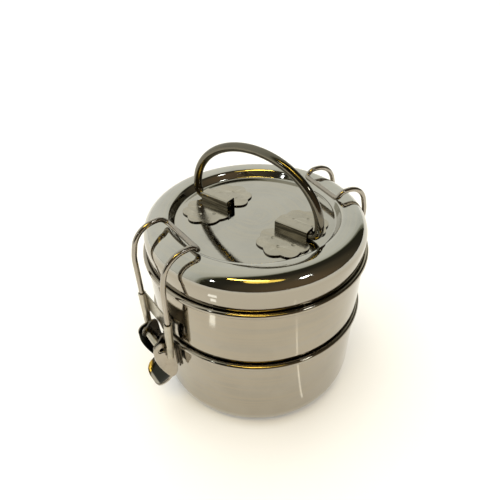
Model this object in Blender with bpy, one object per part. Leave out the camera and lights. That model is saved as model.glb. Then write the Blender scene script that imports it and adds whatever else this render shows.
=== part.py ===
"""Two-tier stainless steel tiffin carrier with side clamps and a folding bail handle.

Units are metres and +Z is up. The origin is the centre of the base, on the surface it stands on.
+X points at about the right-hand clamp and -X at the left-hand one. A clamp is modelled at +X, where x is
its distance from the carrier's axis, y runs along its pins and z is height, and then turned about Z
to where it is welded on.
"""
import bpy
import bmesh
from math import pi, sin, cos, tan, radians, hypot
from mathutils import Matrix, Vector

MM = 0.001
GAP = 0.3 * MM                 # working gap between touching pieces

# Bowls
WALL_R = 70.0 * MM             # outside radius of both bowls' walls
SHEET = 0.8 * MM               # bowl and lid sheet
BEAD_R = 70.2 * MM             # rolled rim: radius to the middle of the bead
BEAD = 1.75 * MM               # rolled rim: radius of the bead itself
LOWER_RIM_Z = 67.85 * MM       # height of the lower bowl's rim bead
UPPER_RIM_Z = 111.1 * MM       # height of the upper bowl's rim bead
LOWER_CORNER = (21.0 * MM, 18.5 * MM)   # rounded bottom corner, radial and vertical
NECK_R = 67.8 * MM             # stepped-in neck that drops into the mouth below
NECK_DROP = 5.6 * MM           # how far a neck reaches below the bead's middle
STEP_H = 5.6 * MM              # height of the curved shoulder above a neck

# Lid
DISC_Z = 128.0 * MM            # top of the sunken disc
DISC_R = 50.6 * MM
LIP_R = 53.2 * MM              # inner edge of the raised ring
CREST_R = 59.0 * MM
CREST_Z = 133.4 * MM
SKIRT_R = 69.5 * MM
SKIRT_TOP_Z = 123.0 * MM
LID_TURN = radians(-73.2)      # the lid can be set down at any angle; the bail's axis lies here
BAIL_OFF = (1.0 * MM, -2.8 * MM)   # bail centre along and across its own axis

# Bail handle and its two brackets
WIRE_R = 2.7 * MM
BAIL_Z = 131.2 * MM            # pivot axis height
BAIL_HALF = 45.2 * MM
BAIL_RISE = 42.0 * MM          # pivot axis to the top of the arch
BAIL_BEND = 5.0 * MM
CHANNEL_IN, CHANNEL_OUT = 18.0 * MM, 39.6 * MM    # ends of each raised channel along the axis
CHANNEL_HALF = 3.7 * MM
PLATE = 0.7 * MM               # bracket sheet
LOBE_MID = 11.0 * MM           # middle of a scalloped lobe from the axis
LOBE = (14.0 * MM, 13.0 * MM)  # half sizes of the lobe before its scallops
SCALLOPS = 5

# Clamps
PIN_XZ = (80.9 * MM, 69.5 * MM)       # lever pivot on the base bracket
HINGE_XZ = (77.3 * MM, 64.2 * MM)     # wire hoop's pivot in the lever
TOP_LEG_Y = 17.3 * MM          # wire leg from the clamp's middle plane, at the lid
SLEEVE_LEG_Y = 16.4 * MM       # the same at the top of the sleeve
HINGE_LEG_Y = 13.9 * MM        # the same at the hinge
HOOP_END_Y = 8.5 * MM          # where the turned-in end of the wire stops
HOOP_R = 1.6 * MM
BAR_XZ = (51.3 * MM, 135.3 * MM)      # crossbar that bears on the lid
RIGHT_TURN = radians(-9.5)     # the clamps are welded on a little away from opposite each other
LEFT_TURN = radians(180.8)
RIGHT_LEAN = radians(-1.5)     # the right-hand hoop leans in a little further than the left one
LEG_X = 76.0 * MM              # wire leg's distance from the carrier at the top of the sleeve
SLEEVE_TOP = 94.2 * MM
SLEEVE_R = (2.5 * MM, 1.9 * MM)       # outside and inside
SLEEVE_FOOT_R = 2.2 * MM       # outside at the closed bottom end
LINK_PLATE_Z = (81.0 * MM, 93.8 * MM)
EAR_Y = (9.8 * MM, 11.0 * MM)  # inside and outside of the lever's side walls
EAR_R = 5.2 * MM
ARM_Y = (7.0 * MM, 8.1 * MM)   # inside and outside of the base bracket's arms
ARM_R = 3.7 * MM
PIN_R = (2.2 * MM, 1.6 * MM)   # tubular lever pin, outside and inside
LEVER_SHEET = 1.2 * MM

SEG = 40


def clear_scene():
    for obj in list(bpy.data.objects):
        bpy.data.objects.remove(obj, do_unlink=True)


def steel(name, colour, roughness):
    mat = bpy.data.materials.new(name)
    mat.use_nodes = True
    bsdf = mat.node_tree.nodes["Principled BSDF"]
    bsdf.inputs["Base Color"].default_value = (*colour, 1.0)
    bsdf.inputs["Metallic"].default_value = 1.0
    bsdf.inputs["Roughness"].default_value = roughness
    return mat


def add_object(name, mesh, colour=(0.60, 0.58, 0.54), roughness=0.12, smooth=True):
    obj = bpy.data.objects.new(name, mesh)
    bpy.context.collection.objects.link(obj)
    mesh.materials.clear()
    mesh.materials.append(steel(name + "_steel", colour, roughness))
    if smooth:
        mesh.shade_smooth()
        mesh.set_sharp_from_angle(angle=radians(35))
    return obj


def mesh_from_bmesh(name, bm):
    bmesh.ops.recalc_face_normals(bm, faces=bm.faces)
    mesh = bpy.data.meshes.new(name)
    bm.to_mesh(mesh)
    bm.free()
    return mesh


def arc(cx, cz, rx, rz, start, end, n):
    """Points on an elliptical arc in degrees, both ends included."""
    return [(cx + rx * cos(radians(start + (end - start) * i / n)),
             cz + rz * sin(radians(start + (end - start) * i / n))) for i in range(n + 1)]


def turned(name, profile, segments=SEG):
    """A closed body turned about Z from an open profile that starts and ends on the axis,
    or from a profile that closes on itself."""
    bm = bmesh.new()
    verts = [bm.verts.new((r, 0.0, z)) for r, z in profile]
    edges = [bm.edges.new(pair) for pair in zip(verts, verts[1:])]
    if profile[0][0] > 1e-7:
        edges.append(bm.edges.new((verts[-1], verts[0])))
    bmesh.ops.spin(bm, geom=verts + edges, axis=(0, 0, 1), cent=(0, 0, 0),
                   angle=2 * pi, steps=segments, use_merge=True)
    bmesh.ops.remove_doubles(bm, verts=bm.verts, dist=1e-6)
    return mesh_from_bmesh(name, bm)


def extruded(name, outline, y0, y1):
    """A flat outline in the XZ plane given a thickness along Y."""
    bm = bmesh.new()
    face = bm.faces.new([bm.verts.new((x, y0, z)) for x, z in outline])
    new = bmesh.ops.extrude_face_region(bm, geom=[face])["geom"]
    moved = [v for v in new if isinstance(v, bmesh.types.BMVert)]
    bmesh.ops.translate(bm, verts=moved, vec=(0, y1 - y0, 0))
    return mesh_from_bmesh(name, bm)


def box(name, x, y, z):
    bm = bmesh.new()
    bmesh.ops.create_cube(bm, size=1.0)
    for v in bm.verts:
        v.co = Vector([(lo + hi) / 2 + c * (hi - lo) for (lo, hi), c in zip((x, y, z), v.co)])
    return mesh_from_bmesh(name, bm)


def rod(name, x, z, radius, y0, y1, sides=16):
    """A round bar along Y."""
    return extruded(name, arc(x, z, radius, radius, 0, 360 - 360 / sides, sides - 1), y0, y1)


def tube_along_y(name, x, z, outer, inner, y0, y1, sides=16):
    bm = bmesh.new()
    rings = []
    for y, r in ((y0, outer), (y1, outer), (y1, inner), (y0, inner)):
        rings.append([bm.verts.new((x + r * cos(2 * pi * i / sides), y, z + r * sin(2 * pi * i / sides)))
                      for i in range(sides)])
    for a, b in zip(rings, rings[1:] + rings[:1]):
        for i in range(sides):
            j = (i + 1) % sides
            bm.faces.new((a[i], a[j], b[j], b[i]))
    return mesh_from_bmesh(name, bm)


def combined(base, others, operation):
    """The base mesh joined with, or cut by, the other meshes."""
    obj = bpy.data.objects.new("work", base)
    bpy.context.collection.objects.link(obj)
    helpers = []
    for mesh in others:
        tool = bpy.data.objects.new("tool", mesh)
        bpy.context.collection.objects.link(tool)
        mod = obj.modifiers.new("bool", "BOOLEAN")
        mod.operation = operation
        mod.object = tool
        helpers.append(tool)
    bpy.context.view_layer.update()
    graph = bpy.context.evaluated_depsgraph_get()
    result = bpy.data.meshes.new_from_object(obj.evaluated_get(graph))
    for helper in helpers + [obj]:
        bpy.data.objects.remove(helper, do_unlink=True)
    return result


def rounded_path(corners, steps=3):
    """Straight runs with an arc at every corner; each corner is (point, bend radius)."""
    points = [Vector(corners[0][0])]
    for (a, _), (b, radius), (c, _) in zip(corners, corners[1:], corners[2:]):
        a, b, c = Vector(a), Vector(b), Vector(c)
        back, ahead = (a - b).normalized(), (c - b).normalized()
        half = back.angle(ahead) / 2
        if radius <= 0 or half > radians(89.5):
            points.append(b)
            continue
        reach = radius / tan(half)
        centre = b + (back + ahead).normalized() * (radius / sin(half))
        start, end = b + back * reach - centre, b + ahead * reach - centre
        turn = start.angle(end)
        for i in range(steps + 1):
            f = i / steps
            points.append(centre + (start * sin((1 - f) * turn) + end * sin(f * turn)) / sin(turn))
    points.append(Vector(corners[-1][0]))
    return points


def wire(name, points, radius, resolution=2):
    """Round wire along the points, as a mesh with closed ends."""
    curve = bpy.data.curves.new(name, "CURVE")
    curve.dimensions = "3D"
    curve.bevel_depth = radius
    curve.bevel_resolution = resolution
    curve.use_fill_caps = True
    spline = curve.splines.new("POLY")
    spline.points.add(len(points) - 1)
    for target, p in zip(spline.points, points):
        target.co = (*p, 1.0)
    obj = bpy.data.objects.new(name, curve)
    bpy.context.collection.objects.link(obj)
    bpy.context.view_layer.update()
    graph = bpy.context.evaluated_depsgraph_get()
    mesh = bpy.data.meshes.new_from_object(obj.evaluated_get(graph))
    bpy.data.objects.remove(obj, do_unlink=True)
    bm = bmesh.new()
    bm.from_mesh(mesh)
    bmesh.ops.remove_doubles(bm, verts=bm.verts, dist=1e-6)
    return mesh_from_bmesh(name, bm)


def moved_to_pivot(mesh, pivot):
    """Shift the mesh so that the pivot is its own origin."""
    mesh.transform(Matrix.Translation(-Vector(pivot)))
    return mesh


# ---------------------------------------------------------------- bowls and lid

def bead(rim_z, n=7):
    """Rolled rim from the outside of the wall, over the top, to the inside of the wall."""
    outside = -96.6
    inside = 235.2
    return arc(BEAD_R, rim_z, BEAD, BEAD, outside, inside, n)


def lower_bowl_profile():
    rx, rz = LOWER_CORNER
    outer = arc(WALL_R - rx, rz, rx, rz, -90, 0, 6)
    inner = arc(WALL_R - rx, rz, rx - SHEET, rz - SHEET, 0, -90, 6)
    return [(0, 0)] + outer + bead(LOWER_RIM_Z) + inner + [(0, SHEET)]


def upper_bowl_profile():
    bottom = LOWER_RIM_Z - NECK_DROP
    corner = 2.6 * MM
    shoulder_z = LOWER_RIM_Z + BEAD + GAP
    outer = [(0, bottom)]
    outer += arc(NECK_R - 0.2 * MM - corner, bottom + corner, corner, corner, -90, 0, 3)
    outer += [(NECK_R, LOWER_RIM_Z + 0.5 * MM)]
    outer += arc(NECK_R + 0.25 * MM, shoulder_z + STEP_H, WALL_R - NECK_R - 0.25 * MM, STEP_H, -90, 0, 4)
    inner_wall = WALL_R - SHEET
    inner = [(inner_wall, shoulder_z + STEP_H)]
    inner += [(inner_wall - 0.6 * MM, shoulder_z + 0.45 * STEP_H), (NECK_R - SHEET + 0.1 * MM, shoulder_z)]
    inner += arc(NECK_R - 0.2 * MM - corner, bottom + corner, corner - SHEET, corner - SHEET, 0, -90, 3)
    return outer + bead(UPPER_RIM_Z) + inner + [(0, bottom + SHEET)]


def lid_profile():
    seat = UPPER_RIM_Z + BEAD + GAP
    neck_bottom = UPPER_RIM_Z - 3.2 * MM
    top = [(0, DISC_Z), (DISC_R - 0.9 * MM, DISC_Z), (DISC_R, DISC_Z + 0.35 * MM)]
    top += [(LIP_R - 0.9 * MM, CREST_Z - 1.15 * MM), (LIP_R, CREST_Z - 0.45 * MM)]
    top += [(LIP_R + 1.6 * MM, CREST_Z - 0.1 * MM)]
    top += arc(CREST_R, SKIRT_TOP_Z, SKIRT_R - CREST_R, CREST_Z - SKIRT_TOP_Z, 90, 0, 7)
    top += [(SKIRT_R, seat + 0.8 * MM), (SKIRT_R - 0.5 * MM, seat + 0.1 * MM), (NECK_R + 0.2 * MM, seat)]
    top += [(NECK_R, seat - 0.6 * MM), (NECK_R - 0.1 * MM, neck_bottom)]
    under = [(NECK_R - 0.1 * MM - SHEET, neck_bottom), (NECK_R - SHEET, seat + 0.4 * MM)]
    under += [(SKIRT_R - SHEET, seat + 1.6 * MM)]
    under += arc(CREST_R, SKIRT_TOP_Z, SKIRT_R - CREST_R - SHEET, CREST_Z - SKIRT_TOP_Z - SHEET, 0, 90, 4)
    under += [(LIP_R + 0.5 * MM, CREST_Z - SHEET - 0.4 * MM), (DISC_R + 0.4 * MM, DISC_Z - 0.45 * MM)]
    under += [(DISC_R - 0.7 * MM, DISC_Z - SHEET), (0, DISC_Z - SHEET)]
    return top + under


# ---------------------------------------------------------------- bail handle and brackets

def bail_path():
    """Bail in its own plane: x along the pivot axis, z up from it."""
    straight = 6.0 * MM
    rise = BAIL_RISE - straight
    side = [(CHANNEL_IN + 1.2 * MM, 0.0), (BAIL_HALF - BAIL_BEND, 0.0)]
    side += arc(BAIL_HALF - BAIL_BEND, BAIL_BEND, BAIL_BEND, BAIL_BEND, -60, 0, 3)
    side += arc(0, straight, BAIL_HALF, rise, 6, 90, 11)
    left = [(-x, z) for x, z in reversed(side[:-1])]
    return [Vector((x, 0, z)) for x, z in side + left]


def lobe_outline(side):
    """Scalloped outline of one lobe of a bracket plate, in (along axis, across axis)."""
    edge = CHANNEL_HALF - PLATE / 2
    mid = (CHANNEL_IN + CHANNEL_OUT) / 2
    first, last = -33.0, 213.0
    notch = arc(0, LOBE_MID, LOBE[0], LOBE[1], first, last, SCALLOPS)
    outline = [(notch[0][0] - 1.0 * MM, edge)]
    for (ax, ay), (bx, by) in zip(notch, notch[1:]):
        cx, cy = (ax + bx) / 2, (ay + by) / 2
        dx, dy = bx - ax, by - ay
        bulge = 0.30
        for i in range(5):
            f = i / 5.0
            h = bulge * 4 * f * (1 - f)
            outline.append((ax + dx * f + dy * h * 0.72, ay + dy * f - dx * h * 0.72))
    outline += [notch[-1], (notch[-1][0] + 1.0 * MM, edge)]
    return [(mid + x, side * y) for x, y in outline]


def bracket_mesh(name):
    """Plate with two scalloped lobes joined by a raised channel over the bail's end."""
    z0 = DISC_Z + GAP
    z1 = z0 + PLATE
    inner_half = CHANNEL_HALF - PLATE
    crown = BAIL_Z + WIRE_R + GAP
    outer = [(CHANNEL_HALF, z0), (CHANNEL_HALF, crown - 0.4 * MM), (CHANNEL_HALF - 0.8 * MM, crown + PLATE)]
    inner = [(inner_half, z0), (inner_half, crown - 0.7 * MM), (inner_half - 0.7 * MM, crown)]
    section = outer + [(-y, z) for y, z in reversed(outer)]
    section += [(-y, z) for y, z in inner] + list(reversed(inner))
    bm = bmesh.new()
    face = bm.faces.new([bm.verts.new((CHANNEL_IN, y, z)) for y, z in section])
    new = bmesh.ops.extrude_face_region(bm, geom=[face])["geom"]
    bmesh.ops.translate(bm, verts=[v for v in new if isinstance(v, bmesh.types.BMVert)],
                        vec=(CHANNEL_OUT - CHANNEL_IN, 0, 0))
    channel = mesh_from_bmesh(name, bm)
    lobes = []
    for side in (1, -1):
        bm = bmesh.new()
        face = bm.faces.new([bm.verts.new((x, y, z0)) for x, y in lobe_outline(side)])
        new = bmesh.ops.extrude_face_region(bm, geom=[face])["geom"]
        moved = [v for v in new if isinstance(v, bmesh.types.BMVert)]
        bmesh.ops.translate(bm, verts=moved, vec=(0, 0, z1 - z0))
        lobes.append(mesh_from_bmesh("lobe", bm))
    return combined(channel, lobes, "UNION")


def lid_frame(flip=False):
    """Placement of the bail's own frame on the lid."""
    along, across = BAIL_OFF
    turn = Matrix.Rotation(LID_TURN, 4, "Z")
    half = Matrix.Rotation(pi, 4, "Z") if flip else Matrix.Identity(4)
    return turn @ Matrix.Translation((along, across, 0)) @ half


# ---------------------------------------------------------------- clamps

def leg_point(z):
    """Middle of the wire's straight leg inside its sleeve, at height z."""
    f = (z - HINGE_XZ[1]) / (SLEEVE_TOP - HINGE_XZ[1])
    x = HINGE_XZ[0] + (LEG_X - HINGE_XZ[0]) * f
    return Vector((x, HINGE_LEG_Y + (SLEEVE_LEG_Y - HINGE_LEG_Y) * f, z))


def hoop_path():
    """Wire from one turned-in end, up the leg, over the lid's shoulder, along the bar and back."""
    hx, hz = HINGE_XZ
    bar_x, bar_z = BAR_XZ
    y = TOP_LEG_Y
    side = [((hx, HOOP_END_Y, hz), 0), ((hx, HINGE_LEG_Y, hz), 2.2 * MM), (leg_point(SLEEVE_TOP), 30 * MM),
            ((75.2 * MM, y, 122 * MM), 12 * MM), ((70.4 * MM, y, 138.4 * MM), 10.5 * MM),
            ((54.8 * MM, y, 139.0 * MM), 4.2 * MM), ((bar_x, y, bar_z), 2.3 * MM)]
    other = [((x, -py, z), r) for (x, py, z), r in reversed(side)]
    return rounded_path(side + other)


def sleeve_profile(length):
    """Tapered tube with a closed round foot, its axis on Z and its foot round the origin."""
    outer, inner = SLEEVE_R
    foot = SLEEVE_FOOT_R
    return (arc(0, 0, foot, foot, -90, 0, 3) + [(outer, length), (inner, length)]
            + arc(0, 0, inner, inner, 0, -90, 3))


def link_plate_mesh(name):
    """Plate between the wire legs with a sleeve along each edge, open inward at the hinge."""
    hx, hz = HINGE_XZ
    foot, top = leg_point(hz), leg_point(SLEEVE_TOP)
    sleeves, slots = [], []
    for side in (1, -1):
        flip = Vector((1, side, 1))
        run = (top - foot) * flip
        tube = turned("sleeve", sleeve_profile(run.length), 12)
        tube.transform(Matrix.Translation(foot * flip) @ run.to_track_quat("Z", "Y").to_matrix().to_4x4())
        sleeves.append(tube)
        ys = sorted((side * (HOOP_END_Y + 1.5 * MM), side * (HINGE_LEG_Y - 0.2 * MM)))
        slots.append(box("slot", (hx - 2.0 * MM, hx + 1.9 * MM), ys, (hz - 2.0 * MM, hz + 4.0 * MM)))
    half_sheet = 0.35 * MM
    behind = 1.9 * MM              # the plate lies behind the middle of the legs
    bm = bmesh.new()
    rings = []
    for z in LINK_PLATE_Z:
        p = leg_point(z)
        half = p.y - 1.35 * MM
        back = p.x - behind
        rings.append([bm.verts.new((back + dx, y, z)) for dx, y in ((-half_sheet, -half), (half_sheet, -half),
                                                                    (half_sheet, half), (-half_sheet, half))])
    low, high = rings
    bm.faces.new(low)
    bm.faces.new(high)
    for i in range(4):
        j = (i + 1) % 4
        bm.faces.new((low[i], low[j], high[j], high[i]))
    plate = mesh_from_bmesh(name, bm)
    return combined(combined(plate, sleeves, "UNION"), slots, "DIFFERENCE")


def lever_wall_outline():
    """Side wall of the lever: round ear over the pin, then a slanting free edge down to the web."""
    px, pz = PIN_XZ
    ear = arc(px, pz, EAR_R, EAR_R, 150, -10, 7)
    free = [(86.0, 62.0), (85.6, 57.0), (84.2, 50.5), (82.0, 44.5), (79.6, 40.6)]
    foot = [(76.8, 39.6), (74.8, 40.4), (73.4, 43.6)]
    back = [(72.9, 47.0), (72.9, 63.5), (74.2, 67.6)]
    return ear + [(x * MM, z * MM) for x, z in free + foot + back]


def spoon_mesh(name):
    """Web of the lever with its thumb tab: flat behind the walls, then flared outward and cupped."""
    spine = [(73.9, 58.0, 10.5, 0.0), (73.9, 48.0, 10.5, 0.0), (74.5, 43.4, 10.6, 0.6),
             (76.4, 39.6, 10.8, 1.6), (79.4, 36.6, 11.0, 2.5), (82.6, 34.6, 10.8, 2.9),
             (85.6, 33.3, 9.6, 2.5), (87.6, 32.7, 7.6, 1.5), (88.4, 32.5, 4.6, 0.6)]
    across = 8
    bm = bmesh.new()
    near, far = [], []
    for k, (x, z, half, cup) in enumerate(spine):
        x0, z0 = spine[max(k - 1, 0)][:2]
        x1, z1 = spine[min(k + 1, len(spine) - 1)][:2]
        length = hypot(x1 - x0, z1 - z0)
        nx, nz = -(z1 - z0) / length, (x1 - x0) / length
        for rows, depth in ((near, 0.0), (far, LEVER_SHEET / MM)):
            row = []
            for i in range(across + 1):
                f = 2.0 * i / across - 1.0
                rise = cup * abs(f) ** 3 + depth
                row.append(bm.verts.new(((x + nx * rise) * MM, half * f * MM, (z + nz * rise) * MM)))
            rows.append(row)
    for rows in (near, far):
        for a, b in zip(rows, rows[1:]):
            for i in range(across):
                bm.faces.new((a[i], a[i + 1], b[i + 1], b[i]))
    for a, b in zip(zip(near, near[1:]), zip(far, far[1:])):
        for i in (0, across):
            bm.faces.new((a[0][i], a[1][i], b[1][i], b[0][i]))
    for a, b in ((near[0], far[0]), (near[-1], far[-1])):
        for i in range(across):
            bm.faces.new((a[i], a[i + 1], b[i + 1], b[i]))
    bmesh.ops.triangulate(bm, faces=bm.faces)
    return mesh_from_bmesh(name, bm)


def lever_mesh(name):
    outline = lever_wall_outline()
    y0, y1 = EAR_Y
    walls = [extruded("wall", outline, y0, y1), extruded("wall", outline, -y1, -y0)]
    body = combined(spoon_mesh(name), walls, "UNION")
    holes = [rod("hole", PIN_XZ[0], PIN_XZ[1], PIN_R[0] + 0.4 * MM, -20 * MM, 20 * MM),
             rod("hole", HINGE_XZ[0], HINGE_XZ[1], HOOP_R + 0.35 * MM, -20 * MM, 20 * MM, 12)]
    return combined(body, holes, "DIFFERENCE")


def base_bracket_mesh(name):
    """Curved foot welded under the lower bowl's rim, with two arms that carry the lever's pin."""
    r0, r1 = WALL_R + GAP, WALL_R + 1.4 * MM
    half = 7.5                     # degrees of the bowl's wall to either side
    n = 4
    turns = [radians(-half + 2 * half * i / n) for i in range(n + 1)]
    outline = [(r0 * cos(a), r0 * sin(a)) for a in turns]
    outline += [(r1 * cos(a), r1 * sin(a)) for a in reversed(turns)]
    low, high = 44.0 * MM, 61.5 * MM
    bm = bmesh.new()
    face = bm.faces.new([bm.verts.new((x, y, low)) for x, y in outline])
    new = bmesh.ops.extrude_face_region(bm, geom=[face])["geom"]
    moved = [v for v in new if isinstance(v, bmesh.types.BMVert)]
    bmesh.ops.translate(bm, verts=moved, vec=(0, 0, high - low))
    foot = mesh_from_bmesh(name, bm)
    px, pz = PIN_XZ
    arm = [(70.4, 46.0), (70.4, 60.6), (72.7, 62.6), (73.2, 75.0), (74.6, 77.2), (77.4, 77.5), (79.8, 75.2)]
    under = [(77.4, 64.4), (75.2, 61.3), (72.6, 58.9), (71.8, 46.0)]
    outline = [(x * MM, z * MM) for x, z in arm] + arc(px, pz, ARM_R, ARM_R, 70, -80, 5)
    outline += [(x * MM, z * MM) for x, z in under]
    y0, y1 = ARM_Y
    arms = [extruded("arm", outline, y0, y1), extruded("arm", outline, -y1, -y0)]
    body = combined(foot, arms, "UNION")
    hole = rod("hole", px, pz, PIN_R[0] + GAP, -20 * MM, 20 * MM)
    return combined(body, [hole], "DIFFERENCE")


def clamp_pieces():
    """Every piece of one clamp at +X: (name, mesh, pivot)."""
    pin = (PIN_XZ[0], 0.0, PIN_XZ[1])
    hinge = (HINGE_XZ[0], 0.0, HINGE_XZ[1])
    inner, outer = HOOP_R + GAP, 3.0 * MM
    y0, y1 = ARM_Y[1] + 0.5 * MM, EAR_Y[0] - 0.4 * MM
    pin_end = EAR_Y[1] - 0.3 * MM
    return [
        ("base_bracket", base_bracket_mesh("base_bracket"), (WALL_R, 0.0, 55 * MM)),
        ("lever_pin", tube_along_y("lever_pin", *PIN_XZ, *PIN_R, -pin_end, pin_end), pin),
        ("lever", lever_mesh("lever"), pin),
        ("hinge_washer_a", tube_along_y("hinge_washer_a", *HINGE_XZ, outer, inner, y0, y1), hinge),
        ("hinge_washer_b", tube_along_y("hinge_washer_b", *HINGE_XZ, outer, inner, -y1, -y0), hinge),
        ("wire_hoop", wire("wire_hoop", hoop_path(), HOOP_R), hinge),
        ("link_plate", link_plate_mesh("link_plate"), hinge),
    ]


def main():
    clear_scene()
    add_object("lower_bowl", turned("lower_bowl", lower_bowl_profile()))
    add_object("upper_bowl", turned("upper_bowl", upper_bowl_profile()))
    add_object("lid", turned("lid", lid_profile()))

    pivot = (0, 0, BAIL_Z)
    bail = add_object("bail_handle", wire("bail_handle", bail_path(), WIRE_R, 3), roughness=0.1)
    bail.matrix_world = lid_frame() @ Matrix.Translation(pivot)
    bracket = bracket_mesh("bail_bracket")
    for name, flip in (("bail_bracket_right", False), ("bail_bracket_left", True)):
        obj = add_object(name, bracket.copy(), roughness=0.2)
        obj.matrix_world = lid_frame(flip)
    bpy.data.meshes.remove(bracket)

    for part, mesh, origin in clamp_pieces():
        moved_to_pivot(mesh, origin)
        for side, turn in (("right", RIGHT_TURN), ("left", LEFT_TURN)):
            obj = add_object("%s_%s" % (part, side), mesh if side == "right" else mesh.copy(), roughness=0.16)
            leans = side == "right" and part in ("wire_hoop", "link_plate")
            lean = Matrix.Rotation(RIGHT_LEAN if leans else 0.0, 4, "Y")
            obj.matrix_world = Matrix.Rotation(turn, 4, "Z") @ Matrix.Translation(origin) @ lean
    bpy.context.view_layer.update()


main()
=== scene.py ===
"""Looks of the two-tier stainless steel tiffin carrier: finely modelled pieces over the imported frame.

Metres, +Z up, the same frame as the CAD. A clamp is made at +X and then turned about Z, and the bail
and its brackets are made in their own frame and then turned to where they sit on the lid.
"""

from math import pi, sin, cos, tan, radians, hypot

import bpy
import bmesh
from mathutils import Matrix, Vector


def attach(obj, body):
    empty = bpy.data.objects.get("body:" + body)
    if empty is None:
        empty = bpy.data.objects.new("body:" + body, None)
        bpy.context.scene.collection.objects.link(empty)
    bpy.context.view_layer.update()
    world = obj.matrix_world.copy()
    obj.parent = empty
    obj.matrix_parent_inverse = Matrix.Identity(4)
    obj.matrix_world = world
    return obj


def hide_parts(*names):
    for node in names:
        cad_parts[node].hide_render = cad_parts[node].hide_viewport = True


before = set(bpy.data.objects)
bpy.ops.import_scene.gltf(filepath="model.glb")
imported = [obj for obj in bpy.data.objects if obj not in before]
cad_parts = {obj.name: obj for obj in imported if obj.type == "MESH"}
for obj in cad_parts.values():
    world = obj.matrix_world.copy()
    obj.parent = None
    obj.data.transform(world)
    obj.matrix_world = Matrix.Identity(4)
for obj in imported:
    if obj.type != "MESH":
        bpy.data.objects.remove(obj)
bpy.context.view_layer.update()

MM = 0.001
GAP = 0.3 * MM                               # left between pieces that move past each other

# Bowls
WALL_R, SHEET = 70.0 * MM, 0.8 * MM
BEAD_R, BEAD = 70.2 * MM, 1.75 * MM
LOWER_RIM_Z, UPPER_RIM_Z = 67.85 * MM, 111.1 * MM
LOWER_CORNER = (21.0 * MM, 18.5 * MM)        # the bottom's rounding, across and up
NECK_R, NECK_DROP, STEP_H = 67.8 * MM, 5.6 * MM, 5.6 * MM

# Lid
DISC_Z, DISC_R, LIP_R = 128.0 * MM, 50.6 * MM, 53.2 * MM
CREST_R, CREST_Z = 59.0 * MM, 133.4 * MM
SKIRT_R, SKIRT_TOP_Z = 69.5 * MM, 123.0 * MM
LID_TURN = radians(-73.2)
BAIL_OFF = (1.0 * MM, -2.8 * MM)             # from the lid's middle to the bail's

# Bail handle and its brackets
BAIL_WIRE = 2.68 * MM
BAIL_Z, BAIL_HALF, BAIL_RISE, BAIL_BEND = 131.2 * MM, 45.2 * MM, 41.85 * MM, 5.0 * MM
CHANNEL_IN, CHANNEL_OUT, CHANNEL_HALF = 18.0 * MM, 39.6 * MM, 3.7 * MM
PLATE = 0.7 * MM
WIRE_CLEAR = 2.7 * MM + GAP                  # from the bail's centre line up to the channel's roof
LOBE_MID, LOBE, SCALLOPS = 11.0 * MM, (14.0 * MM, 13.0 * MM), 5
SCALLOP_BULGE = 1.15                         # 4 times the height of a scallop over its width
WELDS = ((-6.5 * MM, 11.5 * MM), (0.6 * MM, 17.0 * MM), (6.8 * MM, 11.0 * MM))
DIMPLE_R, DIMPLE_DEPTH = 2.6 * MM, 0.3 * MM

# Clamps: _XZ is a centre seen from the side, _Y and _Z a stretch, and a pair of radii is outer, inner
PIN_XZ, HINGE_XZ, BAR_XZ = (80.9 * MM, 69.5 * MM), (77.3 * MM, 64.2 * MM), (51.3 * MM, 135.3 * MM)
TOP_LEG_Y, SLEEVE_LEG_Y, HINGE_LEG_Y, HOOP_END_Y = 17.3 * MM, 16.4 * MM, 13.9 * MM, 8.5 * MM
HOOP_R = 1.58 * MM
HOOP_BENDS = ((75.3, 121.0, 30.0), (70.9, 139.0, 14.5), (55.0, 139.4, 6.0))     # x, z and radius in mm
RIGHT_TURN, LEFT_TURN, RIGHT_LEAN = radians(-9.5), radians(180.8), radians(-1.5)
LEG_X, SLEEVE_TOP = 76.0 * MM, 94.2 * MM
SLEEVE_R, SLEEVE_FOOT_R = (2.5 * MM, 1.9 * MM), 2.2 * MM
LINK_PLATE_Z, LINK_PLATE_BACK = (81.0 * MM, 93.8 * MM), 1.9 * MM
EAR_Y, EAR_R = (9.8 * MM, 11.0 * MM), 5.2 * MM
ARM_Y, ARM_R = (7.0 * MM, 8.1 * MM), 3.7 * MM
PIN_R = (2.2 * MM, 1.6 * MM)
LEVER_SHEET = 1.2 * MM
DRILL = 20 * MM                              # a hole's cutter reaches this far to either side of y = 0
FOOT_Z, FOOT_HALF_TURN = (44.0 * MM, 61.5 * MM), 7.5
WASHER_R = (3.0 * MM, 1.6 * MM + GAP)

# Base colours of the steel; some stand in for light and shade, as marked
WALL_TONE = (0.345, 0.315, 0.262)
# Painted light: the lid's top is coloured lighter than the bowls and its own skirt, all the same steel
LID_TOP_LIT_TONE = (0.475, 0.465, 0.418)
WIRE_TONE = (0.36, 0.33, 0.285)
# Painted shade: the bail is coloured far darker than the same steel elsewhere, for the dark it mirrors
BAIL_SHADED_TONE = (0.150, 0.138, 0.108)
PLATE_TONE = (0.40, 0.372, 0.305)
# Painted shade on the bracket channels' upright sides, standing in for the dark they mirror
CHANNEL_SIDE_SHADE = (0.085, 0.078, 0.060)
LEVER_TONE = (0.40, 0.365, 0.31)
# Painted shade in the lever's trough
LEVER_TROUGH_SHADE = (0.030, 0.030, 0.024)
# Painted shade: the foot behind the lever is coloured near black
FOOT_SHADED_TONE = (0.13, 0.115, 0.09)
GRIME = (0.10, 0.085, 0.065)

# Light and view
AHEAD = Vector((0.588, 0.809, 0.0))          # the camera's heading on the floor
RIGHT = Vector((0.809, -0.588, 0.0))
UP = Vector((0.0, 0.0, 1.0))
EYE = Vector((-0.1308, -0.1736, 0.2683))
# The camera's own right, up and backward directions
VIEW_AXES = ((0.8008, -0.5987, -0.0166), (0.3765, 0.4816, 0.7914), (-0.4658, -0.6400, 0.6111))
LENS = 29.556

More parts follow.
